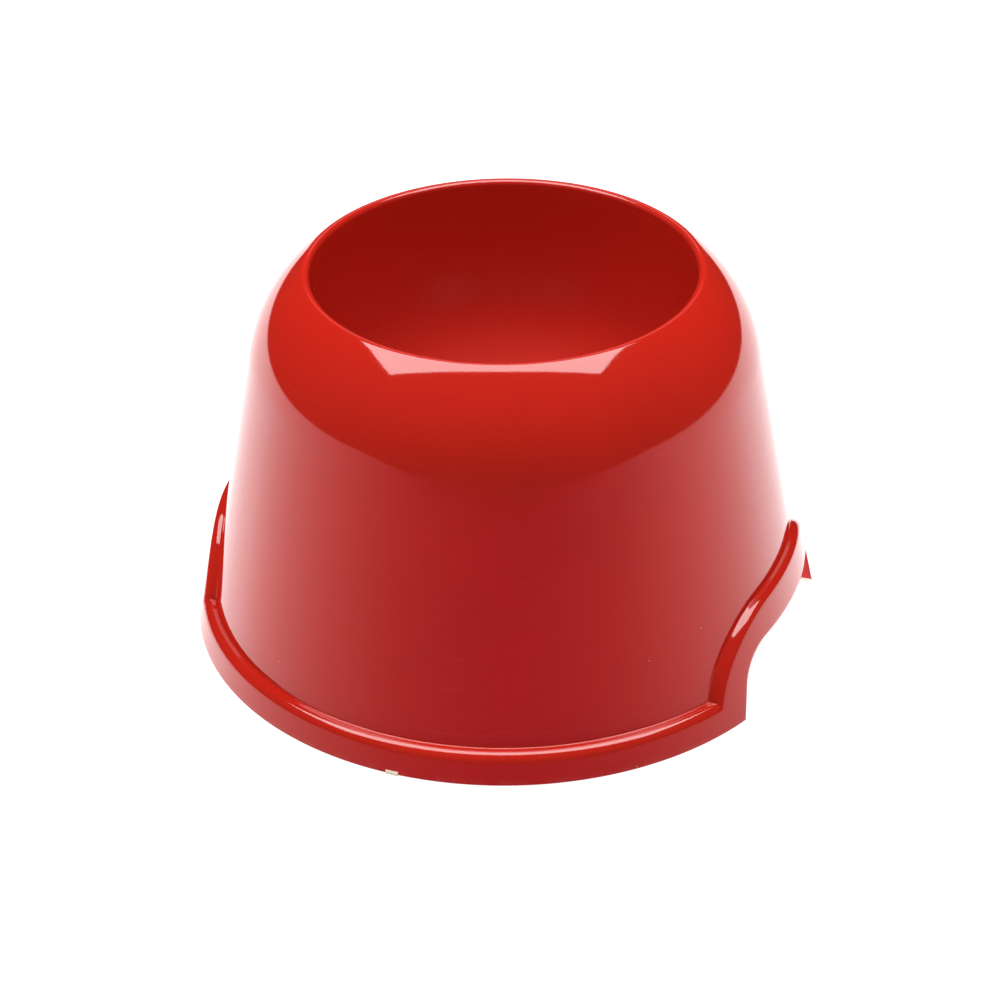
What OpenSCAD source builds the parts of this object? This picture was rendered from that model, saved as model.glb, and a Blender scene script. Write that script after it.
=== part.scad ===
// Tall bowl for long-eared dogs: a narrow mouth keeps the ears out and a wide skirt keeps it upright.
// One moulded shell carries the cup, the lip, the shoulder, the wall and the skirt, and is hollow
// underneath. The wall steps outward into the skirt, and the step climbs over a lift cutout on each
// side. Three rubber feet are pushed up into bosses inside the rim.
// Millimetres. The floor is Z = 0, the axis is Z, the front is -Y and the lift cutouts face -X and +X.

/* [Overall] */
// Height from the floor to the crest of the lip
height = 146.7; // [140:0.1:156]
// Diameter across the foot of the skirt
base_d = 244.2; // [240:0.1:250]
// Wall thickness of the moulding
wall = 2.8; // [2.4:0.1:3]

/* [Wall and mouth] */
// Inward lean of the outer wall, in degrees from vertical
wall_lean = 10.8; // [10:0.1:12]
// Radius of the shoulder that turns the wall into the lip
shoulder_r = 54.7; // [52:0.1:60]
// Clear diameter of the mouth just under the lip
mouth_d = 143; // [140:0.1:145]
// Outside radius of the rounded lip
lip_r = 2.1; // [1.8:0.1:2.4]

/* [Cup] */
// Depth of the cup below the crest of the lip
cup_depth = 92; // [86:1:96]
// Inward lean of the cup wall going down, in degrees from vertical
cup_draft = 8; // [5:0.5:10]
// Radius between the cup wall and the cup floor
cup_floor_r = 54; // [46:1:56]

/* [Skirt] */
// How far the skirt stands outside the wall, measured at the floor
skirt_step = 4.7; // [4.2:0.1:5.2]
// Inward lean of the skirt, in degrees from vertical
skirt_lean = 12.4; // [12:0.1:13]
// Height of the step at the front and the back
band_h = 12.1; // [10:0.1:14]
// Rounding of the step's upper edge
band_r = 3; // [1:0.1:3.4]

/* [Lift cutouts] */
// Width of each cutout at the floor
lift_w = 97; // [84:0.2:98]
// Height of each cutout
lift_h = 26.7; // [22:0.1:28]
// Lean of the jambs toward each other, in degrees from vertical
jamb_lean = 18.5; // [12:0.5:20]
// Radius of the cutout's upper corners
lift_corner_r = 18; // [12:0.5:20]
// Radius of the nearly flat top of the cutout
lift_crown_r = 380; // [250:10:500]
// Width of the raised arch round a cutout, at the floor
arch_w = 123.5; // [118:0.5:125]
// Height of the raised arch
arch_h = 40.8; // [38:0.1:42]
// Radius of the arch's upper corners
arch_corner_r = 42; // [30:1:44]
// Radius of the arch's nearly flat top
arch_crown_r = 310; // [250:10:500]

/* [Feet] */
// Gap between the rim and the floor
rim_gap = 0.3; // [0.2:0.1:1]
// Width of a foot along the rim
foot_w = 4.8; // [4.4:0.1:6.5]
// Depth of a foot from the outer face of the skirt inward
foot_depth = 4; // [3.6:0.1:4.6]
// Height of a foot's pad
foot_h = 1.6; // [1.4:0.1:2.4]
// Diameter of the peg on a foot
peg_d = 2; // [1.6:0.1:2.2]
// Length of the peg above the pad
peg_l = 5; // [4:0.5:6]

/* [Hidden] */
$fn = 96;

arc_step = 3;
reach = base_d;
skirt_top = arch_h + 4;

// Rounding of the step's edge inside the hollow
inner_edge_r = 0.2;

// The foot stands a little outside the skirt, and its peg has a little room in the boss
foot_proud = 0.2;
peg_room = 0.05;
peg_inset = 2.6;
boss_depth = 5.8;
boss_side = 2;
boss_h = foot_h + peg_l + 2;

// Outer radii of the wall and of the skirt where they reach the floor
wall_foot_r = base_d / 2 - skirt_step;
skirt_foot_r = base_d / 2;

// The cup wall ends in the same direction as the lip's arc
cup_angle = 180 - cup_draft;

// Each rear foot starts at a cutout's rear jamb and runs back from it
jamb_y = lift_w / 2;
rear_peg_y = jamb_y + foot_w / 2;
rear_peg_x = sqrt(pow(skirt_foot_r, 2) - pow(rear_peg_y, 2));

// Outward normal of a line or arc whose direction leans a degrees inward from vertical
function normal(a) = [cos(a), sin(a)];

// Direction of travel along the same line or arc
function along(a) = [-sin(a), cos(a)];

// Points on an arc about c, from normal angle a0 to a1; a negative radius curves the other way
function arc(c, r, a0, a1) =
    let (steps = max(2, ceil(abs(a1 - a0) / arc_step)))
    [for (i = [0:steps]) c + r * normal(a0 + (a1 - a0) * i / steps)];

// Centre of the arc of radius r that touches the line (normal angle a, offset d from the origin)
// and, from inside, the circle of radius big about q; side picks one of the two answers
function corner_centre(a, d, r, q, big, side) =
    let (v = (d - r) * normal(a) - q)
    let (b = v * along(a))
    let (c = v * v - pow(big - r, 2))
    (d - r) * normal(a) + (-b + side * sqrt(b * b - c)) * along(a);

lip_c = [mouth_d / 2 + lip_r * cos(cup_draft), height - lip_r];
wall_d = wall_foot_r * cos(wall_lean);
shoulder_c = corner_centre(wall_lean, wall_d, shoulder_r, lip_c, lip_r, -1);
shoulder_to_lip = lip_c - shoulder_c;
shoulder_end = atan2(shoulder_to_lip[1], shoulder_to_lip[0]);
cup_c_z = height - cup_depth + cup_floor_r;
cup_c_d = normal(cup_angle) * lip_c + lip_r + cup_floor_r;
cup_c = [(cup_c_d - cup_c_z * sin(cup_angle)) / cos(cup_angle), cup_c_z];

// Inside the hollow, the shoulder ends where it meets the back of the cup wall
hollow_reach = normal(cup_angle) * shoulder_to_lip + lip_r - wall;
hollow_end = cup_angle - acos(hollow_reach / (shoulder_r - wall));

// Half section of the whole body, moved inward by inset and standing on height z0; the shoulder
// runs up to the angle end, and lip holds the points between it and the cup
function body_section(inset, z0, end, lip) = concat(
    [[0, z0], [wall_foot_r - z0 * tan(wall_lean) - inset / cos(wall_lean), z0]],
    arc(shoulder_c, shoulder_r - inset, wall_lean, end),
    lip,
    arc(cup_c, -cup_floor_r - inset, cup_angle, 90),
    [[0, height - cup_depth - inset]]
);

lip_arc = arc(lip_c, lip_r, shoulder_end, cup_angle);

// Radius of the skirt's outer face at height z
function skirt_r(z) = skirt_foot_r - z * tan(skirt_lean);

// Outline of an opening with leaning jambs, rounded corners and a nearly flat top, made
// smaller all round by inset; the first coordinate is across the opening
function opening_outline(w, h, lean, corner, crown, inset) =
    let (q = [0, h - crown])
    let (d = w / 2 * cos(lean))
    let (c = corner_centre(lean, d, corner, q, crown, 1))
    let (turn = atan2(c[1] - q[1], c[0] - q[0]))
    let (foot = [(d - inset + sin(lean)) / cos(lean), -1])
    let (half = concat([foot], arc(c, corner - inset, lean, turn), arc(q, crown - inset, turn, 90)))
    concat(half, [for (i = [len(half) - 2:-1:0]) [-half[i][0], half[i][1]]]);

// Solid that fills an outline from one side of the bowl to the other
module across(outline) {
    translate([-reach, 0, 0])
        rotate([90, 0, 90])
            linear_extrude(height = 2 * reach)
                polygon(outline);
}

module arches(inset) {
    across(opening_outline(arch_w, arch_h, jamb_lean, arch_corner_r, arch_crown_r, inset));
}

module cutouts() {
    across(opening_outline(lift_w, lift_h, jamb_lean, lift_corner_r, lift_crown_r, 0));
}

// Solid cone inside the skirt's outer face, moved inward by inset
module skirt_cone(inset, z0, z1) {
    rotate_extrude()
        polygon([[0, z0], [skirt_r(z0) - inset, z0], [skirt_r(z1) - inset, z1], [0, z1]]);
}

// Everything below the step at the front and the back; the step's upper edge is rounded by edge_r
module below_step(inset, edge_r, z0) {
    top = band_h - inset;
    edge_z = top - edge_r;
    edge_c = [skirt_r(edge_z) - inset / cos(skirt_lean) - edge_r, edge_z];
    rotate_extrude()
        polygon(concat([[0, z0], [reach, z0], [reach, edge_z]], arc(edge_c, edge_r, 0, 90), [[0, top]]));
}

// The skirt as a filled solid: a cone up to the step, which climbs over the two cutouts
module skirt(inset, edge_r, z0) {
    intersection() {
        skirt_cone(inset / cos(skirt_lean), z0, skirt_top + inset);
        union() {
            below_step(inset, edge_r, z0 - 1);
            arches(inset);
        }
    }
}

// Block at the front foot's place, extra wider on both sides: the front is -Y
module front_block(extra, z0, z1) {
    translate([-foot_w / 2 - extra, -base_d, z0])
        cube([foot_w + 2 * extra, base_d, z1 - z0]);
}

// The same block at a rear foot's place, from inside the cutout to extra behind the foot's back:
// side is -1 on the left and 1 on the right
module rear_block(side, extra, z0, z1) {
    y0 = jamb_y - z1 * tan(jamb_lean) - 1;
    translate([side > 0 ? 0 : -base_d, y0, z0])
        cube([base_d, jamb_y + foot_w + extra - y0, z1 - z0]);
}

// Peg of a foot, leaning inward with the skirt; extra widens and lengthens it into its hole
module peg_at(place, extra) {
    turn = atan2(place[1], place[0]);
    rotate([0, 0, turn])
        translate([skirt_foot_r - peg_inset, 0, 0])
            rotate([0, -skirt_lean, 0])
                translate([0, 0, foot_h - 1])
                    cylinder(d = peg_d + 2 * extra, h = peg_l + 1 + extra);
}

module front_peg(extra) {
    peg_at([0, -skirt_foot_r], extra);
}

module rear_peg(side, extra) {
    peg_at([side * rear_peg_x, rear_peg_y], extra);
}

// Ring between the skirt's outer face and depth inside it
module rim_ring(outside, depth, z0, z1) {
    difference() {
        skirt_cone(-outside, z0, z1);
        skirt_cone(depth, z0 - 1, z1 + 1);
    }
}

module bosses() {
    intersection() {
        rim_ring(-wall / 2, boss_depth, rim_gap, boss_h);
        union() {
            front_block(boss_side, rim_gap, boss_h);
            rear_block(-1, boss_side, rim_gap, boss_h);
            rear_block(1, boss_side, rim_gap, boss_h);
        }
    }
}

module foot_sockets() {
    intersection() {
        rim_ring(3, foot_depth, -1, foot_h);
        union() {
            front_block(0, -1, foot_h);
            rear_block(-1, 0, -1, foot_h);
            rear_block(1, 0, -1, foot_h);
        }
    }
    front_peg(peg_room);
    rear_peg(-1, peg_room);
    rear_peg(1, peg_room);
}

module bowl_shell() {
    color("crimson")
        difference() {
            union() {
                difference() {
                    union() {
                        rotate_extrude()
                            polygon(body_section(0, rim_gap, shoulder_end, lip_arc));
                        skirt(0, band_r, rim_gap);
                    }
                    rotate_extrude()
                        polygon(body_section(wall, -1, hollow_end, []));
                    skirt(wall, inner_edge_r, -1);
                }
                bosses();
            }
            cutouts();
            foot_sockets();
        }
}

module front_foot() {
    color("antiquewhite")
        union() {
            intersection() {
                rim_ring(foot_proud, foot_depth, 0, foot_h);
                front_block(0, 0, foot_h);
            }
            front_peg(0);
        }
}

module rear_foot(side) {
    color("antiquewhite")
        union() {
            difference() {
                intersection() {
                    rim_ring(foot_proud, foot_depth, 0, foot_h);
                    rear_block(side, 0, 0, foot_h);
                }
                cutouts();
            }
            rear_peg(side, 0);
        }
}

module left_rear_foot() {
    rear_foot(-1);
}

module right_rear_foot() {
    rear_foot(1);
}

bowl_shell();
front_foot();
left_rear_foot();
right_rear_foot();
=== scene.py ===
"""Looks for a tall bowl for long-eared dogs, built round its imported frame.

Metres. The floor is Z = 0, the bowl's axis is Z, its front is -Y and the lift cutouts face -X and +X.
"""

import logging
import math
from collections.abc import Callable
from dataclasses import dataclass, field, replace
from enum import Enum

import bmesh
import bpy
import numpy as np
from mathutils import Matrix, Vector


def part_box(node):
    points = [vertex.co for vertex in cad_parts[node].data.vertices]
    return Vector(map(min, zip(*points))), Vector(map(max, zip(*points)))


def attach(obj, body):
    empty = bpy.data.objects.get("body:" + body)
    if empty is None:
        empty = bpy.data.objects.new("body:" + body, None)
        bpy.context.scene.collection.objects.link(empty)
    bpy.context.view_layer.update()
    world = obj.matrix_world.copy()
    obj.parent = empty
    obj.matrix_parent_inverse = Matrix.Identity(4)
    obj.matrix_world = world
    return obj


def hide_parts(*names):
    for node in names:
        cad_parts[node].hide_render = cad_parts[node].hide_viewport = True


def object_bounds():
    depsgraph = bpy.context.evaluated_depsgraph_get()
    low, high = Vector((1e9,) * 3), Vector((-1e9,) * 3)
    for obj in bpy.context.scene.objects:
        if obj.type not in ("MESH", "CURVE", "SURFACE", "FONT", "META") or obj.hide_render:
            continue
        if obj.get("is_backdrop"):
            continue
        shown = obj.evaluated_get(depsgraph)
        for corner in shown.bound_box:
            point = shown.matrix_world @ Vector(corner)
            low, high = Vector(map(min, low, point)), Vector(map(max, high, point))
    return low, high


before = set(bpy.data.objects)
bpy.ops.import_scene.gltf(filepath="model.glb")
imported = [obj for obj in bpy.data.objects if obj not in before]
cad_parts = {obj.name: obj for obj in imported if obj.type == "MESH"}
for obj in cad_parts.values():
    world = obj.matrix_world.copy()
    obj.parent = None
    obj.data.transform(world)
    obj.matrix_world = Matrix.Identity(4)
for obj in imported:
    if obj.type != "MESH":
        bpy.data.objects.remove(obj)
CAD_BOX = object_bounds()

LOG = logging.getLogger("dog_bowl")
MM = 0.001
BODY = "root"
RIGHT_ANGLE = math.pi / 2
UP = Vector((0, 0, 1))
SHARP = math.radians(38)


# Plane geometry


def normal(angle: np.ndarray | float) -> np.ndarray:
    """Outward unit vector, as across and up, at an angle above the horizontal."""
    return np.stack([np.cos(angle), np.sin(angle)], axis=-1)


def corner_centre(
    lean: float, offset: float, radius: float, centre: np.ndarray, big: float, side: int
) -> np.ndarray:
    """Centre of an arc that touches a leaning line and, from inside, a circle.

    Args:
        lean: Angle of the line's outward normal above the horizontal.
        offset: Distance of the line from the origin.
        radius: Radius of the arc.
        centre: Centre of the circle.
        big: Radius of the circle.
        side: Which of the two answers, -1 or 1.

    Returns:
        The centre, as across and up.
    """
    start = (offset - radius) * normal(lean)
    travel = np.array([-math.sin(lean), math.cos(lean)])
    gap = start - centre
    b = float(gap @ travel)
    c = float(gap @ gap) - (big - radius) ** 2
    return start + (-b + side * math.sqrt(b * b - c)) * travel


def blend(a: float | np.ndarray, b: float | np.ndarray, share: float) -> float | np.ndarray:
    """The value a given share of the way from a to b."""
    return a + (b - a) * share


@dataclass
class Section:
    """Half section of the moulded body: wall, shoulder, lip and cup, as radius and height.

    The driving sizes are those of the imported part; height and foot radius come from its box.
    """

    height: float
    wall_foot_r: float
    wall_lean: float = math.radians(10.8)
    shoulder_r: float = 54.7 * MM
    mouth_d: float = 143 * MM
    lip_r: float = 2.1 * MM
    cup_depth: float = 92 * MM
    cup_draft: float = math.radians(8)
    cup_floor_r: float = 54 * MM

    @property
    def cup_angle(self) -> float:
        """Direction in which the lip's arc meets the cup wall."""
        return math.pi - self.cup_draft

    @property
    def lip_c(self) -> np.ndarray:
        """Centre of the lip's arc."""
        return np.array([self.mouth_d / 2 + self.lip_r * math.cos(self.cup_draft), self.height - self.lip_r])

    @property
    def shoulder_c(self) -> np.ndarray:
        """Centre of the shoulder's arc."""
        offset = self.wall_foot_r * math.cos(self.wall_lean)
        return corner_centre(self.wall_lean, offset, self.shoulder_r, self.lip_c, self.lip_r, -1)

    @property
    def shoulder_end(self) -> float:
        """Angle at which the shoulder runs into the lip."""
        across, up = self.lip_c - self.shoulder_c
        return math.atan2(up, across)

    @property
    def cup_c(self) -> np.ndarray:
        """Centre of the arc between cup wall and cup floor."""
        up = self.height - self.cup_depth + self.cup_floor_r
        facing = normal(self.cup_angle)
        offset = float(facing @ self.lip_c) + self.lip_r + self.cup_floor_r
        return np.array([(offset - up * facing[1]) / facing[0], up])

    def hollow_end(self, inset: float) -> float:
        """Angle at which the shoulder's inner face meets the back of the cup wall."""
        reach = float(normal(self.cup_angle) @ (self.lip_c - self.shoulder_c)) + self.lip_r - inset
        return self.cup_angle - math.acos(reach / (self.shoulder_r - inset))

    def wall_r(self, z: np.ndarray | float, inset: float = 0) -> np.ndarray | float:
        """Radius of the wall's face at height z, moved inward by inset."""
        return self.wall_foot_r - z * math.tan(self.wall_lean) - inset / math.cos(self.wall_lean)

    def profile(self, inset: float, low: float, counts: dict[str, int]) -> np.ndarray:
        """Points of one face from the middle of the cup floor, over the lip and down the wall.

        Args:
            inset: How far the face lies inside the outer one.
            low: Height at which the profile ends on the wall.
            counts: Number of steps on each stretch.

        Returns:
            Radius and height of each point, the point on the axis left out.
        """
        floor_z = self.height - self.cup_depth - inset
        floor = np.linspace([0, floor_z], [self.cup_c[0], floor_z], counts["floor"] + 1)[1:-1]
        turn = np.linspace(RIGHT_ANGLE, self.cup_angle, counts["fillet"] + 1)
        fillet = self.cup_c - (self.cup_floor_r + inset) * normal(turn)
        end = self.hollow_end(inset) if inset else self.shoulder_end
        turn = np.linspace(end, self.wall_lean, counts["shoulder"] + 1)
        shoulder = self.shoulder_c + (self.shoulder_r - inset) * normal(turn)
        if not inset:
            turn = np.linspace(self.cup_angle, self.shoulder_end, counts["lip"] + 1)[:-1]
            shoulder = np.concatenate([self.lip_c + self.lip_r * normal(turn), shoulder])
        cup = np.linspace(fillet[-1], shoulder[0], counts["cup"] + 1)[1:-1]
        wall_z = np.linspace(shoulder[-1, 1], low, counts["wall"] + 1)[1:]
        wall = np.stack([self.wall_r(wall_z, inset), wall_z], axis=-1)
        return np.concatenate([floor, fillet, cup, shoulder, wall])


@dataclass(frozen=True)
class Outline:
    """Opening or arch on a side of the bowl: leaning jambs, rounded corners and a nearly flat top."""

    half: float
    top: float
    corner: float
    crown: float
    lean: float = math.radians(18.5)

    def grown(self, by: float) -> "Outline":
        """The same outline moved outward all round."""
        return replace(
            self,
            half=self.half + by / math.cos(self.lean),
            top=self.top + by,
            corner=self.corner + by,
            crown=self.crown + by,
        )

    def towards(self, other: "Outline", share: float) -> "Outline":
        """An outline a given share of the way to another one."""
        names = ("half", "top", "corner", "crown", "lean")
        return Outline(**{n: blend(getattr(self, n), getattr(other, n), share) for n in names})

    def points(self, foot_z: float, count: int) -> np.ndarray:
        """Evenly spaced points from the foot of one jamb to the foot of the other.

        Args:
            foot_z: Height at which both jambs start.
            count: Number of steps along the outline.

        Returns:
            Position across the opening, rising from negative to positive, and height.
        """
        crown_c = np.array([0, self.top - self.crown])
        offset = self.half * math.cos(self.lean)
        corner_c = corner_centre(self.lean, offset, self.corner, crown_c, self.crown, 1)
        across, up = corner_c - crown_c
        turn = math.atan2(up, across)
        corner = corner_c + self.corner * normal(np.linspace(self.lean, turn, 241))
        crown = crown_c + self.crown * normal(np.linspace(turn, RIGHT_ANGLE, 241))
        low = np.array([[self.half + math.tan(self.lean) * 1 * MM, -1 * MM]])
        half = np.concatenate([low, corner, crown[1:]])
        first = int(np.argmax(half[:, 1] > foot_z))
        share = (foot_z - half[first - 1, 1]) / (half[first, 1] - half[first - 1, 1])
        start = blend(half[first - 1], half[first], share)
        half = np.concatenate([start[None], half[first:]])
        whole = np.concatenate([half * (-1, 1), half[-2::-1]])
        length = np.concatenate([[0], np.cumsum(np.linalg.norm(np.diff(whole, axis=0), axis=1))])
        stations = np.linspace(0, length[-1], count + 1)
        return np.stack([np.interp(stations, length, whole[:, k]) for k in (0, 1)], axis=-1)


@dataclass(frozen=True)
class Skirt:
    """The skirt's leaning face and the openings that share it."""

    foot_r: float
    rim_z: float
    lean: float = math.radians(12.4)
    cutout: Outline = Outline(48.5 * MM, 26.7 * MM, 18 * MM, 380 * MM)
    arch: Outline = Outline(61.75 * MM, 40.8 * MM, 42 * MM, 310 * MM)
    arch_face: Outline = Outline(60.7 * MM, 38.9 * MM, 42 * MM, 310 * MM)
    band_z: float = 12.1 * MM
    band_face_z: float = 9.1 * MM
    step: float = 4.7 * MM

    def face_r(self, z: np.ndarray | float, inset: float = 0) -> np.ndarray | float:
        """Radius of the skirt's face at height z, moved inward by inset."""
        return self.foot_r - z * math.tan(self.lean) - inset / math.cos(self.lean)

    def jamb_y(self, z: float) -> float:
        """Half width of a lift cutout at height z."""
        return self.cutout.half - z * math.tan(self.cutout.lean)


# Mesh tools


def mesh_object(name: str, points: np.ndarray, faces: list[tuple[int, ...]]) -> bpy.types.Object:
    """An object with a closed mesh whose faces look outward.

    Args:
        name: Name of the object and of its mesh.
        points: Vertices in the row frame.
        faces: Vertex numbers of each face.

    Returns:
        The linked object, at the origin.
    """
    mesh = bpy.data.meshes.new(name)
    mesh.from_pydata([tuple(p) for p in points.tolist()], [], faces)
    work = bmesh.new()
    work.from_mesh(mesh)
    if work.calc_volume(signed=True) < 0:
        bmesh.ops.reverse_faces(work, faces=work.faces)
    work.to_mesh(mesh)
    work.free()
    made = bpy.data.objects.new(name, mesh)
    bpy.context.scene.collection.objects.link(made)
    return made


def block(
    name: str, place: Callable[[float, float, float], Vector], steps: tuple[int, int, int]
) -> bpy.types.Object:
    """A closed solid: a box of small faces bent into shape.

    Args:
        name: Name of the object.
        place: Gives the point for three shares from 0 to 1.
        steps: Number of faces along each of the three directions.

    Returns:
        The linked object.
    """
    numbers: dict[tuple[int, int, int], int] = {}
    points: list[Vector] = []
    faces: list[tuple[int, ...]] = []

    def corner(at: tuple[int, int, int]) -> int:
        """Number of the vertex at a place of the lattice."""
        if at not in numbers:
            numbers[at] = len(points)
            points.append(place(*(at[k] / steps[k] for k in range(3))))
        return numbers[at]

    for fixed in range(3):
        a, b = (fixed + 1) % 3, (fixed + 2) % 3
        for end in (0, steps[fixed]):
            for i in range(steps[a]):
                for j in range(steps[b]):
                    ring = []
                    for da, db in ((0, 0), (1, 0), (1, 1), (0, 1)):
                        at = [0, 0, 0]
                        at[fixed], at[a], at[b] = end, i + da, j + db
                        ring.append(corner(tuple(at)))
                    faces.append(tuple(ring if end else ring[::-1]))
    return mesh_object(name, np.array([tuple(p) for p in points]), faces)


def peg(name: str, foot: Vector, axis: Vector, radius: float, length: float) -> bpy.types.Object:
    """A round peg with a domed tip.

    Args:
        name: Name of the object.
        foot: Middle of its lower end.
        axis: Unit vector along it.
        radius: Radius of the peg.
        length: Length from the lower end to the tip.

    Returns:
        The linked object.
    """
    sides, dome = 32, 5
    turn = axis.to_track_quat("Z", "Y")
    dome_r = radius * 0.6
    rings = [(radius, 0.0), (radius, length - dome_r)]
    for k in range(1, dome + 1):
        bend = RIGHT_ANGLE * k / (dome + 1)
        rings.append((radius - dome_r * (1 - math.cos(bend)), length - dome_r * (1 - math.sin(bend))))
    points, faces = [], []
    for r, z in rings:
        for k in range(sides):
            a = 2 * math.pi * k / sides
            points.append(foot + turn @ Vector((r * math.cos(a), r * math.sin(a), z)))
    for row in range(len(rings) - 1):
        for k in range(sides):
            n = (k + 1) % sides
            faces.append((row * sides + k, row * sides + n, (row + 1) * sides + n, (row + 1) * sides + k))
    faces.append(tuple(range(sides))[::-1])
    faces.append(tuple((len(rings) - 1) * sides + k for k in range(sides)))
    return mesh_object(name, np.array([tuple(p) for p in points]), faces)


def settle(piece: bpy.types.Object) -> None:
    """Applies every modifier of a piece to its mesh."""
    graph = bpy.context.evaluated_depsgraph_get()
    graph.update()
    made = bpy.data.meshes.new_from_object(piece.evaluated_get(graph), depsgraph=graph)
    made.name = piece.name
    piece.modifiers.clear()
    piece.data = made


def combine(piece: bpy.types.Object, tools: list[bpy.types.Object], operation: str) -> None:
    """Adds tools to a piece or cuts them out of it, and removes them.

    Args:
        piece: The closed mesh to change.
        tools: The closed meshes to use.
        operation: UNION or DIFFERENCE.
    """
    for tool in tools:
        step = piece.modifiers.new(tool.name, "BOOLEAN")
        step.operation = operation
        step.solver = "MANIFOLD"
        step.object = tool
    settle(piece)
    for tool in tools:
        bpy.data.objects.remove(tool)


def smooth(piece: bpy.types.Object, crease: float) -> None:
    """Shades a piece smooth, with edges sharper than crease kept hard."""
    piece.data.polygons.foreach_set("use_smooth", [True] * len(piece.data.polygons))
    piece.data.set_sharp_from_angle(angle=crease)
    piece.data.update()


# Shader graphs


class Wire:
    """A number, vector or colour in a node graph; arithmetic on it adds the nodes."""

    def __init__(self, graph: "Graph", socket: bpy.types.NodeSocket) -> None:
        """Keeps the socket and the graph that it belongs to."""
        self.graph = graph
        self.socket = socket

    @property
    def is_number(self) -> bool:
        """Whether the socket carries one number."""
        return self.socket.type in ("VALUE", "INT", "BOOLEAN")

    def __add__(self, other: "Wire | float") -> "Wire":
        """Sum."""
        return self.graph.arithmetic("ADD", self, other)

    def __sub__(self, other: "Wire | float") -> "Wire":
        """Difference."""
        return self.graph.arithmetic("SUBTRACT", self, other)

    def __mul__(self, other: "Wire | float") -> "Wire":
        """Product."""
        return self.graph.arithmetic("MULTIPLY", self, other)


class Graph:
    """The node tree of a material or of the world."""

    def __init__(self, tree: bpy.types.NodeTree) -> None:
        """Takes a tree and empties it."""
        self.tree = tree
        tree.nodes.clear()

    def node(
        self, kind: str, settings: dict | None = None, sockets: dict | None = None, out: str | int = 0
    ) -> Wire:
        """Adds a node of any type.

        Args:
            kind: Type of the node.
            settings: Its properties, set first; stops are a ramp's positions and colours.
            sockets: Values or wires by the identifier or name of the input.
            out: The output to return.

        Returns:
            The chosen output.
        """
        made = self.tree.nodes.new(kind)
        for name, value in (settings or {}).items():
            if name == "stops":
                self._stops(made.color_ramp, value)
            else:
                setattr(made, name, value)
        for name, value in (sockets or {}).items():
            socket = self._find(made.inputs, name)
            if isinstance(value, Wire):
                self.tree.links.new(value.socket, socket)
            else:
                socket.default_value = value
        return Wire(self, self._find(made.outputs, out)) if made.outputs else Wire(self, None)

    @staticmethod
    def _find(sockets: bpy.types.bpy_prop_collection, key: str | int) -> bpy.types.NodeSocket:
        """The socket with an index, identifier or name."""
        if isinstance(key, int):
            return sockets[key]
        for s in sockets:
            if s.identifier == key:
                return s
        return sockets[key]

    @staticmethod
    def _stops(ramp: bpy.types.ColorRamp, stops: list[tuple[float, tuple[float, ...]]]) -> None:
        """Sets a ramp's stops."""
        while len(ramp.elements) < len(stops):
            ramp.elements.new(1.0)
        for element, (position, colour) in zip(ramp.elements, stops):
            element.position = position
            element.color = (*colour, 1.0)

    def arithmetic(self, operation: str, a: Wire | float, b: Wire | float) -> Wire:
        """Adds a Math node for numbers and a Vector Math node for vectors and colours."""
        wires = [w for w in (a, b) if isinstance(w, Wire)]
        if all(w.is_number for w in wires):
            return self.node("ShaderNodeMath", {"operation": operation}, {"Value": a, "Value_001": b})
        a, b = (w if isinstance(w, (Wire, tuple)) else (w, w, w) for w in (a, b))
        return self.node("ShaderNodeVectorMath", {"operation": operation}, {"Vector": a, "Vector_001": b})

    def mix(self, share: Wire | float, a: Wire | tuple, b: Wire | tuple) -> Wire:
        """The colour a given share of the way from a to b."""
        a, b = (c if isinstance(c, Wire) else (*c, 1.0) for c in (a, b))
        settings = {"data_type": "RGBA", "clamp_factor": True}
        sockets = {"Factor_Float": share, "A_Color": a, "B_Color": b}
        return self.node("ShaderNodeMix", settings, sockets, "Result_Color")

    def between(self, value: Wire, low: float, high: float, first: float = 0, last: float = 1) -> Wire:
        """Eases from first to last as value goes from low to high."""
        sockets = {"Value": value, "From Min": low, "From Max": high, "To Min": first, "To Max": last}
        return self.node("ShaderNodeMapRange", {"interpolation_type": "SMOOTHSTEP"}, sockets)

    def noise(self, at: Wire, scale: float, detail: float = 3, roughness: float = 0.5) -> Wire:
        """Soft noise from 0 to 1."""
        sockets = {"Vector": at, "Scale": scale, "Detail": detail, "Roughness": roughness}
        return self.node("ShaderNodeTexNoise", None, sockets, "Fac")

    def bump(self, height: Wire, distance: float, under: Wire | None = None) -> Wire:
        """A bumped normal, on top of another one if given."""
        sockets = {"Height": height, "Distance": distance, "Strength": 1.0}
        if under is not None:
            sockets["Normal"] = under
        return self.node("ShaderNodeBump", None, sockets)

    def length(self, vector: Wire) -> Wire:
        """Length of a vector."""
        return self.node("ShaderNodeVectorMath", {"operation": "LENGTH"}, {"Vector": vector}, "Value")

    def facing(self, direction: Wire, front: Vector) -> Wire:
        """How far a direction, seen from above, points to the front: from -1 to 1."""
        level = direction * (1.0, 1.0, 0.0)
        level = self.node("ShaderNodeVectorMath", {"operation": "NORMALIZE"}, {"Vector": level})
        sockets = {"Vector": level, "Vector_001": tuple(front)}
        return self.node("ShaderNodeVectorMath", {"operation": "DOT_PRODUCT"}, sockets, "Value")

    def place(
        self, stretch: tuple[float, float, float], turn: tuple[float, float, float] = (0, 0, 0)
    ) -> Wire:
        """Object coordinates in metres, turned and then stretched."""
        at = self.node("ShaderNodeTexCoord", out="Object")
        turned = self.node("ShaderNodeMapping", {"vector_type": "POINT"}, {"Vector": at, "Rotation": turn})
        return turned * stretch


def new_material(name: str) -> tuple[bpy.types.Material, Graph]:
    """A material and its empty node graph."""
    material = bpy.data.materials.new(name)
    material.use_nodes = True
    return material, Graph(material.node_tree)


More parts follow.
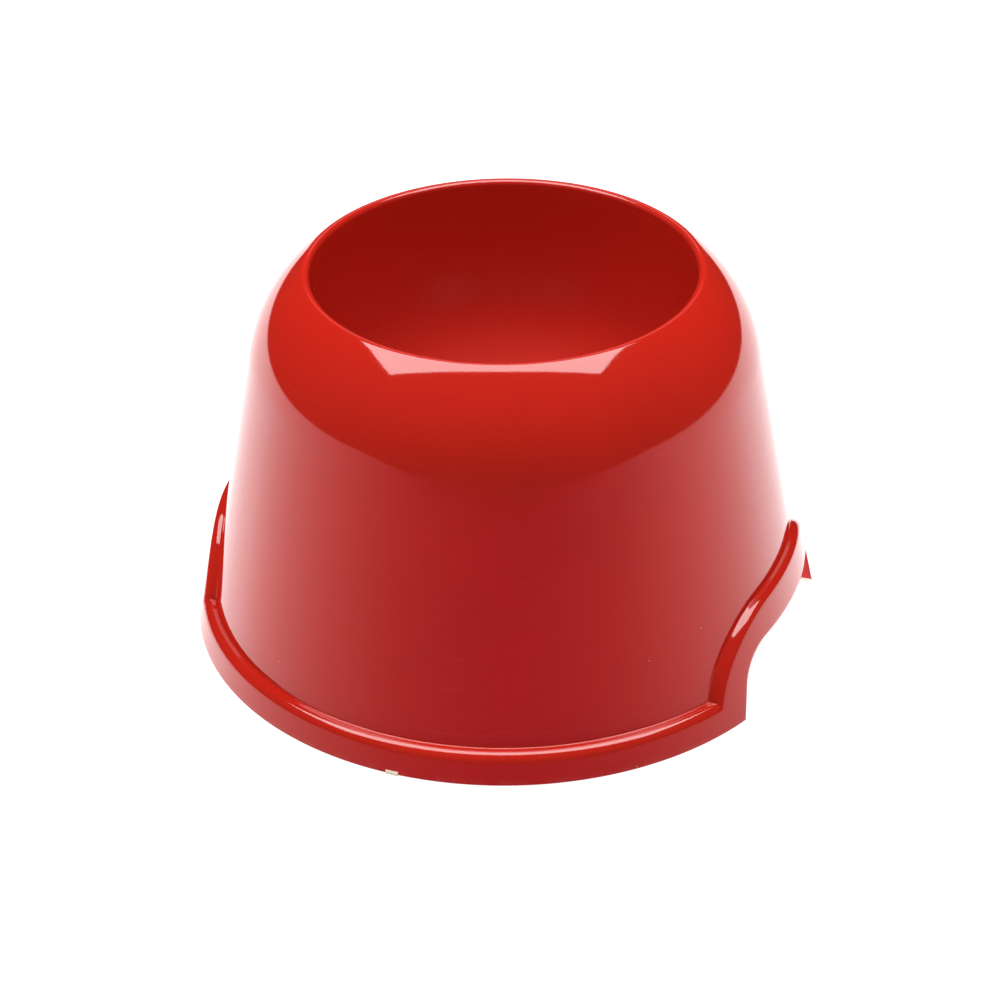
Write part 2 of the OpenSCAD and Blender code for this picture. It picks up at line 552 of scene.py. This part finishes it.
@dataclass(frozen=True)
class RedMoulding:
    """Glossy red polypropylene, with the light handling marks of a bowl from a stack."""

    colour: tuple[float, float, float] = (0.42, 0.0128, 0.006)
    deep: tuple[float, float, float] = (0.39, 0.0118, 0.0058)
    dust: tuple[float, float, float] = (0.75, 0.32, 0.30)
    roughness: float = 0.035
    ior: float = 1.5
    cup_r: float = 72.5 * MM
    cup_top: float = 142 * MM
    cup_low: float = 85 * MM
    rub_top: float = 3.5 * MM

    def streaks(self, g: Graph, turn: tuple[float, float, float], scale: float, edge: float) -> Wire:
        """Thin, broken rub marks that run one way.

        Args:
            g: The graph to add to.
            turn: Turn of the marks' own axes.
            scale: Marks per metre across their length.
            edge: Noise level above which a mark shows.

        Returns:
            0 on clean plastic and up to 1 in a mark.
        """
        fine = g.noise(g.place((0.035, 0.035, 1.0), turn), scale, 2, 0.6)
        patches = g.noise(g.place((1.0, 1.0, 1.0)), 26, 2, 0.5)
        return g.between(fine, edge, edge + 0.05) * g.between(patches, 0.5, 0.62)

    def specks(self, g: Graph) -> Wire:
        """Sparse specks of dust, 0 or 1."""
        at = g.place((1.0, 1.0, 1.0))
        settings = {"feature": "F1"}
        sockets = {"Vector": at, "Scale": 170, "Randomness": 1.0}
        gap = g.node("ShaderNodeTexVoronoi", settings, sockets, "Distance")
        cell = g.node("ShaderNodeTexVoronoi", settings, sockets, "Position")
        chance = g.node("ShaderNodeTexWhiteNoise", {"noise_dimensions": "3D"}, {"Vector": cell}, "Value")
        return g.between(gap, 0.055, 0.035) * g.between(chance, 0.93, 0.94)

    def material(self) -> bpy.types.Material:
        """The finished material."""
        material, g = new_material("red_moulding")
        here = g.place((1.0, 1.0, 1.0))
        height = g.node("ShaderNodeSeparateXYZ", None, {"Vector": here}, "Z")
        clouds = g.noise(here, 9, 3, 0.55)
        grain = g.noise(here, 900, 2, 0.6)
        level = self.streaks(g, (0, 0, 0), 420, 0.63)
        slanted = self.streaks(g, (0.5, 0.35, 0), 520, 0.66)
        marks = level * 0.6 + slanted * 0.5
        specks = self.specks(g)
        foot_rub = g.between(height, self.rub_top, 0.5 * MM) * g.between(g.noise(here, 160, 3), 0.42, 0.6)
        from_axis = g.length(here * (1.0, 1.0, 0.0))
        inside = g.between(from_axis, self.cup_r + 0.1 * MM, self.cup_r - 0.1 * MM)
        cup = inside * g.between(height, self.cup_top, self.cup_low)
        base = g.mix(g.between(clouds, 0.35, 0.65), self.deep, self.colour)
        base = g.mix(marks * 0.02 + foot_rub * 0.04, base, self.dust)
        base = g.mix(specks * 0.55 + cup * 0.014, base, self.dust)
        rough = clouds * 0.03 + grain * 0.02 + self.roughness
        rough = rough + cup * 0.2 + marks * 0.06 + specks * 0.3 + foot_rub * 0.06
        ripple = g.bump(g.noise(here, 55, 2, 0.4), 0.00002)
        relief = g.bump(grain * 0.4 - marks * 0.3 + specks * 1.5, 0.000012, ripple)
        shader = g.node("ShaderNodeBsdfPrincipled", None, {
            "Base Color": base, "Roughness": rough, "IOR": self.ior, "Normal": relief})
        g.node("ShaderNodeOutputMaterial", None, {"Surface": shader})
        return material


@dataclass(frozen=True)
class CreamRubber:
    """Soft cream rubber of the feet: matt, a little mottled, with painted shade on its lowest millimetre."""

    colour: tuple[float, float, float] = (0.80, 0.70, 0.56)
    # Dark colour for the random mottle and for the painted shade at the bottom of each foot.
    grime_and_shade: tuple[float, float, float] = (0.42, 0.36, 0.29)

    def material(self) -> bpy.types.Material:
        """The finished material."""
        material, g = new_material("cream_rubber")
        here = g.place((1.0, 1.0, 1.0))
        height = g.node("ShaderNodeSeparateXYZ", None, {"Vector": here}, "Z")
        mottle = g.noise(here, 700, 3, 0.6)
        grain = g.noise(here, 3500, 3, 0.6)
        # Painted shade: each foot darkens over its lowest millimetre towards the floor, in patches set by the
        # mottle noise.
        bottom_shade = g.between(height, 1.0 * MM, 0.0) * g.between(mottle, 0.35, 0.6)
        base = g.mix(bottom_shade * 0.5 + g.between(mottle, 0.5, 0.7) * 0.12, self.colour, self.grime_and_shade)
        rough = grain * 0.15 + bottom_shade * 0.1 + 0.55
        shader = g.node("ShaderNodeBsdfPrincipled", None, {
            "Base Color": base, "Roughness": rough, "IOR": 1.5, "Normal": g.bump(grain, 0.00003)})
        g.node("ShaderNodeOutputMaterial", None, {"Surface": shader})
        return material


@dataclass(frozen=True)
class PaleStage:
    """Plain white of the floor, the table and the backdrop."""

    name: str
    glow: float
    albedo: float = 0.0

    def tint(self, g: Graph) -> Wire | tuple[float, ...]:
        """Colour of the glow."""
        return 1.0, 1.0, 1.0, 1.0

    def material(self) -> bpy.types.Material:
        """The finished material."""
        material, g = new_material(self.name)
        shader = g.node("ShaderNodeBsdfPrincipled", None, {
            "Base Color": (self.albedo, self.albedo, self.albedo, 1.0),
            "Roughness": 1.0,
            "Specular IOR Level": 0.0,
            "Emission Color": self.tint(g),
            "Emission Strength": self.glow,
        })
        g.node("ShaderNodeOutputMaterial", None, {"Surface": shader})
        return material


@dataclass(frozen=True)
class LightTable(PaleStage):
    """White table that glows on all sides but the front."""

    front: Vector = field(default_factory=Vector)
    dimmest: float = 0.2

    def tint(self, g: Graph) -> Wire:
        """Colour of the glow, dim in front of the bowl."""
        facing = g.facing(g.place((1.0, 1.0, 1.0)), self.front)
        return g.mix(g.between(facing, 0.8, 0.1), (self.dimmest,) * 3, (1.0, 1.0, 1.0))


# The bowl


class FootPlace(Enum):
    """Where a foot sits on the rim."""

    FRONT = "front_foot"
    LEFT_REAR = "left_rear_foot"
    RIGHT_REAR = "right_rear_foot"

    def point(self, across: float, radius: float, z: float) -> Vector:
        """Point at a radius from the axis, and across from the middle plane of the foot's side."""
        away = math.sqrt(radius**2 - across**2)
        if self is FootPlace.FRONT:
            return Vector((across, -away, z))
        return Vector((away if self is FootPlace.RIGHT_REAR else -away, across, z))


@dataclass
class RubberFoot:
    """A foot: a pad that follows the rim, and a peg pushed up into a boss."""

    place: FootPlace
    skirt: Skirt
    width: float = 4.8 * MM
    depth: float = 4 * MM
    height: float = 1.6 * MM
    proud: float = 0.2 * MM
    edge: float = 0.2 * MM
    edge_limit: float = math.radians(40)
    peg_d: float = 2 * MM
    peg_l: float = 5 * MM
    peg_inset: float = 2.6 * MM
    peg_room: float = 0.05 * MM
    boss_depth: float = 5.8 * MM
    boss_side: float = 2 * MM
    boss_root: float = 1.4 * MM
    past: float = 3 * MM
    piece: bpy.types.Object | None = None

    def span(self, z: float, extra: float = 0) -> tuple[float, float]:
        """The two sides of the foot at height z, across from the middle plane."""
        if self.place is FootPlace.FRONT:
            return -self.width / 2 - extra, self.width / 2 + extra
        return self.skirt.jamb_y(z), self.skirt.jamb_y(0) + self.width + extra

    def solid(
        self,
        name: str,
        radial: tuple[float, float],
        level: tuple[float, float],
        extra: tuple[float, float],
    ) -> bpy.types.Object:
        """A block that follows the rim.

        Args:
            name: Name of the object.
            radial: Inner and outer distance inside the skirt's face.
            level: Lowest and highest point.
            extra: How much wider it is on its first and on its second side.

        Returns:
            The linked object.
        """

        def place(s: float, t: float, u: float) -> Vector:
            """Point of the block for three shares."""
            z = blend(*level, u)
            first, last = self.span(z)
            across = blend(first - extra[0], last + extra[1], s)
            return self.place.point(across, self.skirt.face_r(z, blend(*radial, t)), z)

        return block(name, place, (8, 4, 4))

    def peg(self, name: str, extra: float) -> bpy.types.Object:
        """The peg, or its hole when extra is the room round it."""
        middle = 0.0 if self.place is FootPlace.FRONT else self.skirt.jamb_y(0) + self.width / 2
        outer = self.place.point(middle, self.skirt.foot_r, 0)
        out = outer.normalized()
        axis = UP * math.cos(self.skirt.lean) - out * math.sin(self.skirt.lean)
        base = out * (self.skirt.foot_r - self.peg_inset) + axis * (self.height - 1 * MM)
        return peg(name, base, axis, self.peg_d / 2 + extra, self.peg_l + 1 * MM + extra)

    def boss(self) -> bpy.types.Object:
        """The lump inside the rim that holds the peg."""
        high = self.height + self.peg_l + 2 * MM
        first = self.boss_side if self.place is FootPlace.FRONT else 0.0
        level = (self.skirt.rim_z + 0.3 * MM, high)
        radial = (self.boss_depth, self.boss_root)
        return self.solid(f"{self.place.value}_boss", radial, level, (first, self.boss_side))

    def sockets(self) -> list[bpy.types.Object]:
        """The notch in the rim and the hole above it."""
        name = self.place.value
        room = self.peg_room
        first = room if self.place is FootPlace.FRONT else self.past
        radial = (self.depth + room, -self.past)
        level = (-1 * MM, self.height + room / 2)
        notch = self.solid(f"{name}_notch", radial, level, (first, room))
        return [notch, self.peg(f"{name}_hole", room)]

    def build(self) -> "RubberFoot":
        """Makes the mesh."""
        name = f"{self.place.value}_pad"
        self.piece = self.solid(name, (self.depth, -self.proud), (0.0, self.height), (0.0, 0.0))
        bevel = self.piece.modifiers.new("edges", "BEVEL")
        bevel.width = self.edge
        bevel.segments = 3
        bevel.limit_method = "ANGLE"
        bevel.angle_limit = self.edge_limit
        settle(self.piece)
        combine(self.piece, [self.peg(f"{name}_peg", 0.0)], "UNION")
        smooth(self.piece, SHARP)
        return self

    def dress(self, rubber: bpy.types.Material) -> None:
        """Gives the foot its finish and its place in the frame."""
        self.piece.data.materials.clear()
        self.piece.data.materials.append(rubber)
        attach(self.piece, BODY)
        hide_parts(self.place.value)


@dataclass
class BowlShell:
    """The one-piece moulding: cup, lip, shoulder, wall, and the skirt with its two arches."""

    section: Section
    skirt: Skirt
    feet: list[RubberFoot]
    wall: float = 2.8 * MM
    edge: float = 0.4 * MM
    crease: float = 0.5 * MM
    bead: float = 2.8 * MM
    step_depth: float = 4.4 * MM
    uniform_z: float = 62 * MM
    corner_points: int = 5
    bead_points: int = 10
    face_steps: int = 8
    inner_face_steps: int = 4
    ease_rows: int = 20
    inner_ease_rows: int = 10
    arch_columns: int = 110
    band_columns: int = 130
    outer_counts: dict[str, int] = field(
        default_factory=lambda: {"floor": 4, "fillet": 24, "cup": 8, "lip": 20, "shoulder": 26, "wall": 10}
    )
    inner_counts: dict[str, int] = field(
        default_factory=lambda: {"floor": 3, "fillet": 12, "cup": 4, "shoulder": 12, "wall": 4}
    )
    piece: bpy.types.Object | None = None

    @property
    def columns(self) -> int:
        """Number of points in each closed row."""
        return 2 * (self.arch_columns + self.band_columns)

    @property
    def even_turns(self) -> np.ndarray:
        """Direction of each column where the rows are plain circles."""
        first = -math.pi * self.arch_columns / self.columns
        return first + 2 * math.pi * np.arange(self.columns) / self.columns

    def circle(self, radius: float, z: float) -> np.ndarray:
        """A row on a plain circle."""
        turns = self.even_turns
        return np.stack([radius * np.cos(turns), radius * np.sin(turns), np.full_like(turns, z)], axis=-1)

    def arched(self, arch: np.ndarray, radius: Callable[[np.ndarray], np.ndarray]) -> np.ndarray:
        """A row that climbs over both arches and runs level between them.

        Args:
            arch: Points along the arch, across and up.
            radius: Radius of the surface at each height.

        Returns:
            The points of the closed row.
        """
        across, up = arch[:-1, 0], arch[:-1, 1]
        over = np.stack([np.sqrt(radius(up) ** 2 - across**2), across, up], axis=-1)
        level = float(arch[-1, 1])
        r = float(radius(np.array(level)))
        start = math.asin(arch[-1, 0] / r)
        turns = np.linspace(start, math.pi - start, self.band_columns + 1)[:-1]
        band = np.stack([r * np.cos(turns), r * np.sin(turns), np.full_like(turns, level)], axis=-1)
        half = np.concatenate([over, band])
        return np.concatenate([half, half * (-1, -1, 1)])

    def eased(self, row: np.ndarray, inset: float, steps: int, power: float) -> list[np.ndarray]:
        """Rows on the wall that ease from an arched row to a plain circle.

        Args:
            row: The arched row, which isn't repeated.
            inset: How far the wall's face lies inside the outer one.
            steps: Number of rows, the circle left out.
            power: Above 1 packs the rows near the arched one.

        Returns:
            The rows, from the arched one upward.
        """
        even = self.even_turns
        shift = np.arctan2(row[:, 1], row[:, 0]) - even
        shift = (shift + math.pi) % (2 * math.pi) - math.pi
        rows = []
        for k in range(1, steps + 1):
            share = (k / (steps + 1)) ** power
            turns = even + shift * (1 - share)
            z = blend(row[:, 2], self.uniform_z, share)
            r = self.section.wall_r(z, inset)
            rows.append(np.stack([r * np.cos(turns), r * np.sin(turns), z], axis=-1))
        return rows

    def bead_rows(self) -> list[np.ndarray]:
        """The step from the wall to the skirt: a crease, a ledge and a rounded bead."""
        skirt = self.skirt
        crease, round_ = self.crease / self.step_depth, self.bead / self.step_depth
        crease_shift = self.crease / (skirt.band_z - skirt.band_face_z)
        turns = np.linspace(0, RIGHT_ANGLE, self.corner_points)
        path = [(-crease_shift * (1 - math.sin(t)), crease * (1 - math.cos(t))) for t in turns]
        turns = np.linspace(0, RIGHT_ANGLE, self.bead_points)
        path += [(1 - math.cos(t), 1 - round_ + round_ * math.sin(t)) for t in turns]
        rows = []
        for shift, rise in path:
            level = blend(skirt.band_z, skirt.band_face_z, shift)
            arch = skirt.arch.towards(skirt.arch_face, shift).points(level, self.arch_columns)
            rows.append(self.arched(
                arch, lambda z, rise=rise: blend(self.section.wall_r(z), skirt.face_r(z), rise)))
        return rows

    def face_rows(self, upper: np.ndarray, inset: float, steps: int) -> list[np.ndarray]:
        """Rows on the skirt's face between an arch and the opening's edge, both left out.

        Args:
            upper: Points along the arch.
            inset: How far the face lies inside the outer one.
            steps: Number of steps from the arch to the edge.

        Returns:
            The rows, from the arch down.
        """
        lower = self.skirt.cutout.grown(self.edge).points(self.skirt.rim_z + self.edge, self.arch_columns)
        shares = np.arange(1, steps) / steps
        return [self.arched(blend(upper, lower, s), lambda z: self.skirt.face_r(z, inset)) for s in shares]

    def edge_rows(self) -> list[np.ndarray]:
        """The rounded edge of the rim and the cutouts, from the outer face to the inner one."""
        turns = np.linspace(0, RIGHT_ANGLE, self.corner_points)
        path = [(self.edge * (1 - math.sin(t)), self.edge * (1 - math.cos(t))) for t in turns]
        path += [(0.0, self.wall / 2)]
        path += [(self.edge * (1 - math.cos(t)), self.wall - self.edge * (1 - math.sin(t))) for t in turns]
        rows = []
        for back, depth in path:
            arch = self.skirt.cutout.grown(back).points(self.skirt.rim_z + back, self.arch_columns)
            rows.append(self.arched(arch, lambda z, depth=depth: self.skirt.face_r(z, depth)))
        return rows

    def rows(self) -> list[np.ndarray]:
        """Every row from the middle of the cup floor, over the lip, round the rim and up inside."""
        skirt, section = self.skirt, self.section
        outer = [self.circle(*p) for p in section.profile(0, self.uniform_z, self.outer_counts)]
        bead = self.bead_rows()
        outer_ease = self.eased(bead[0], 0, self.ease_rows, 1.3)[::-1]
        arch_face = skirt.arch_face.points(skirt.band_face_z, self.arch_columns)
        face = self.face_rows(arch_face, 0, self.face_steps)
        inside_arch = skirt.arch.grown(-self.wall).points(skirt.band_z - self.wall, self.arch_columns)
        inner_face = self.face_rows(inside_arch, self.wall, self.inner_face_steps)[::-1]
        joggle = [
            self.arched(inside_arch, lambda z: skirt.face_r(z, self.wall)),
            self.arched(inside_arch, lambda z: section.wall_r(z, self.wall)),
        ]
        inner_ease = self.eased(joggle[1], self.wall, self.inner_ease_rows, 1.2)
        inner = [self.circle(*p) for p in section.profile(self.wall, self.uniform_z, self.inner_counts)][::-1]
        rim = [*bead, *face, *self.edge_rows(), *inner_face, *joggle]
        return [*outer, *outer_ease, *rim, *inner_ease, *inner]

    def build(self) -> "BowlShell":
        """Makes the mesh, with the bosses and the sockets for the feet."""
        rows = self.rows()
        n = self.columns
        floor_z = self.section.height - self.section.cup_depth
        points = np.concatenate([*rows, [[0, 0, floor_z], [0, 0, floor_z - self.wall]]])
        top, under = len(points) - 2, len(points) - 1
        last = (len(rows) - 1) * n
        faces: list[tuple[int, ...]] = []
        for k in range(n):
            after = (k + 1) % n
            faces.append((top, k, after))
            faces.append((under, last + after, last + k))
            for here in range(0, last, n):
                faces.append((here + k, here + n + k, here + n + after, here + after))
        self.piece = mesh_object("bowl_moulding", points, faces)
        combine(self.piece, [foot.boss() for foot in self.feet], "UNION")
        combine(self.piece, [tool for foot in self.feet for tool in foot.sockets()], "DIFFERENCE")
        smooth(self.piece, SHARP)
        return self

    def dress(self, red: bpy.types.Material) -> None:
        """Gives the moulding its finish and its place in the frame."""
        self.piece.data.materials.clear()
        self.piece.data.materials.append(red)
        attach(self.piece, BODY)
        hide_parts("bowl_shell")


# The studio


@dataclass
class Studio:
    """White sweep, a wide soft light overhead, a bright table all round, and the camera."""

    turn: float = math.radians(20.4)
    distance: float = 866.7 * MM
    eye_z: float = 594.9 * MM
    pitch: float = math.radians(32.42)
    yaw: float = math.radians(-0.137)
    roll: float = math.radians(-0.633)
    lens: float = 95.1
    sensor: float = 36.0
    light_z: float = 2.15
    light_x: tuple[float, float] = (-1.80, 1.43)
    light_y: tuple[float, float] = (-0.675, 0.59)
    light_turn: float = math.radians(-1.7)
    radiance: float = 8.7
    floor_half: float = 4.0
    backdrop_top: float = 4.0
    table_z: float = -0.2 * MM
    table_glow: float = 1.75
    table_albedo: float = 0.5
    floor_glow: float = 0.85
    floor_albedo: float = 0.55
    table_edge: tuple[float, float] = (-6.5, -10.8)
    brightest: float = 2.2

    def turned(self, x: float, y: float, z: float) -> Vector:
        """A point of the studio, whose own front faces the camera, in the row frame."""
        return Matrix.Rotation(self.turn, 3, "Z") @ Vector((x, y, z))

    @property
    def front(self) -> Vector:
        """Level direction from the bowl to the camera."""
        return self.turned(0, -1, 0)

    def stage_piece(
        self, name: str, points: list[Vector], faces: list[tuple[int, ...]], finish: PaleStage
    ) -> bpy.types.Object:
        """A surface that isn't part of the object, seen by no ray until its kind is set."""
        mesh = bpy.data.meshes.new(name)
        mesh.from_pydata(points, [], faces)
        mesh.materials.append(finish.material())
        made = bpy.data.objects.new(name, mesh)
        bpy.context.scene.collection.objects.link(made)
        for kind in ("camera", "diffuse", "glossy", "transmission", "volume_scatter", "shadow"):
            setattr(made, f"visible_{kind}", False)
        made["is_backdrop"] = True
        return made

    def square(self, z: float) -> list[Vector]:
        """Corners of the floor at height z."""
        h = self.floor_half
        return [Vector((x, y, z)) for x, y in ((-h, -h), (h, -h), (h, h), (-h, h))]

    def set_floor(self) -> None:
        """The white floor, the table that lights the bowl from below, and the white backdrop."""
        white = PaleStage("floor_white", self.floor_glow, self.floor_albedo)
        floor = self.stage_piece("floor", self.square(0), [(0, 1, 2, 3)], white)
        floor.visible_camera = True
        white = LightTable("table_white", self.table_glow, self.table_albedo, self.front)
        table = self.stage_piece("light_table", self.square(self.table_z), [(0, 1, 2, 3)], white)
        table.visible_diffuse = True
        table.visible_shadow = True
        corners = self.square(0) + self.square(self.backdrop_top)
        walls = [(0, 4, 5, 1), (1, 5, 6, 2), (2, 6, 7, 3), (3, 7, 4, 0), (4, 7, 6, 5)]
        backdrop = self.stage_piece("backdrop", corners, walls, PaleStage("backdrop_white", 1.0))
        backdrop.visible_camera = True

    def set_softbox(self) -> None:
        """The wide light overhead."""
        wide, deep = self.light_x[1] - self.light_x[0], self.light_y[1] - self.light_y[0]
        lamp = bpy.data.lights.new("softbox", "AREA")
        lamp.shape = "RECTANGLE"
        lamp.size, lamp.size_y = wide, deep
        lamp.energy = self.radiance * math.pi * wide * deep
        made = bpy.data.objects.new("softbox", lamp)
        made.location = self.turned(sum(self.light_x) / 2, sum(self.light_y) / 2, self.light_z)
        made.rotation_euler = (0, 0, self.turn + self.light_turn)
        made.visible_camera = False
        bpy.context.scene.collection.objects.link(made)

    def set_world(self) -> None:
        """The glow of the table in the gloss, brighter away from the camera, under a dim room."""
        world = bpy.data.worlds.new("studio")
        bpy.context.scene.world = world
        world.use_nodes = True
        g = Graph(world.node_tree)
        looking = g.node("ShaderNodeTexCoord", out="Generated")
        z = g.node("ShaderNodeSeparateXYZ", None, {"Vector": looking}, "Z")
        facing = g.facing(looking, self.front)
        glow = {
            -1.0: (1.8, 1.8, 1.8), -0.55: (2.1, 2.1, 2.1), 0.0: (2.0, 1.3, 1.3), 0.34: (2.0, 0.8, 0.83),
            0.707: (1.2, 0.32, 0.42), 1.0: (0.5, 0.05, 0.22),
        }
        stops = [((c + 1) / 2, tuple(v / self.brightest for v in rgb)) for c, rgb in glow.items()]
        table = g.node("ShaderNodeValToRGB", {"stops": stops}, {"Fac": (facing + 1) * 0.5}, "Color")
        room = g.mix(g.between(facing, 0.3, -0.6), (0.03, 0.03, 0.03), (0.01, 0.01, 0.01))
        high_back = g.between(facing, -0.93, -0.99) * g.between(z, 0.46, 0.53)
        room = g.mix(high_back, room, (0.45, 0.45, 0.45))
        table = g.mix(g.between(z, -0.4, -0.6) * 0.22, table, (0.65, 0.7, 0.7))
        side_edge, front_edge = (math.sin(math.radians(angle)) for angle in self.table_edge)
        edge = g.between(facing, 0.45, 0.8, side_edge, front_edge)
        above = g.between(z - edge, -0.012, 0.012)
        sockets = {"Color": g.mix(above, table, room), "Strength": self.brightest}
        shown = g.node("ShaderNodeBackground", None, sockets)
        g.node("ShaderNodeOutputWorld", None, {"Surface": shown})

    def set_camera(self) -> None:
        """The camera, a little above the bowl and to its right."""
        right = Vector((1, 0, 0))
        ahead = Vector((0, math.cos(self.pitch), -math.sin(self.pitch)))
        above = Vector((0, math.sin(self.pitch), math.cos(self.pitch)))
        ahead, right = (
            ahead * math.cos(self.yaw) + right * math.sin(self.yaw),
            right * math.cos(self.yaw) - ahead * math.sin(self.yaw),
        )
        right, above = (
            right * math.cos(self.roll) + above * math.sin(self.roll),
            above * math.cos(self.roll) - right * math.sin(self.roll),
        )
        axes = Matrix((right, above, -ahead)).transposed()
        camera = bpy.data.cameras.new("camera")
        camera.lens = self.lens
        camera.sensor_width = self.sensor
        made = bpy.data.objects.new("camera", camera)
        bpy.context.scene.collection.objects.link(made)
        rotation = Matrix.Rotation(self.turn, 3, "Z") @ axes
        made.matrix_world = Matrix.Translation(self.turned(0, -self.distance, self.eye_z)) @ rotation.to_4x4()
        bpy.context.scene.camera = made

    def build(self) -> None:
        """Sets up the stage, the lights, the camera and the colours of the picture."""
        self.set_camera()
        self.set_floor()
        self.set_softbox()
        self.set_world()
        bpy.context.scene.view_settings.view_transform = "Standard"


def frame_sizes() -> tuple[Section, Skirt]:
    """The section and the skirt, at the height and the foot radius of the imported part."""
    low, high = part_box("bowl_shell")
    foot_r = (high.y - low.y) / 2 + low.z * math.tan(Skirt.lean)
    skirt = Skirt(foot_r=foot_r, rim_z=low.z)
    section = Section(height=high.z, wall_foot_r=foot_r - skirt.step)
    return section, skirt


def write_sizes() -> None:
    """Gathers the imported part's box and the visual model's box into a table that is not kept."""
    visual_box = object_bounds()
    boxes = {"cad": CAD_BOX, "visual": visual_box}
    {name: [list(corner) for corner in box] for name, box in boxes.items()}


def main() -> None:
    """Builds the bowl, its feet and the studio, and reports each piece."""
    logging.basicConfig(level=logging.INFO, format="%(name)s: %(message)s")
    section, skirt = frame_sizes()
    Studio().build()
    feet = [RubberFoot(place, skirt) for place in FootPlace]
    shell = BowlShell(section, skirt, feet).build()
    shell.dress(RedMoulding().material())
    rubber = CreamRubber().material()
    for foot in feet:
        foot.build().dress(rubber)
    for piece in (shell.piece, *(foot.piece for foot in feet)):
        LOG.info("%s: %d faces", piece.name, len(piece.data.polygons))
    write_sizes()


if __name__ == "__main__":
    main()
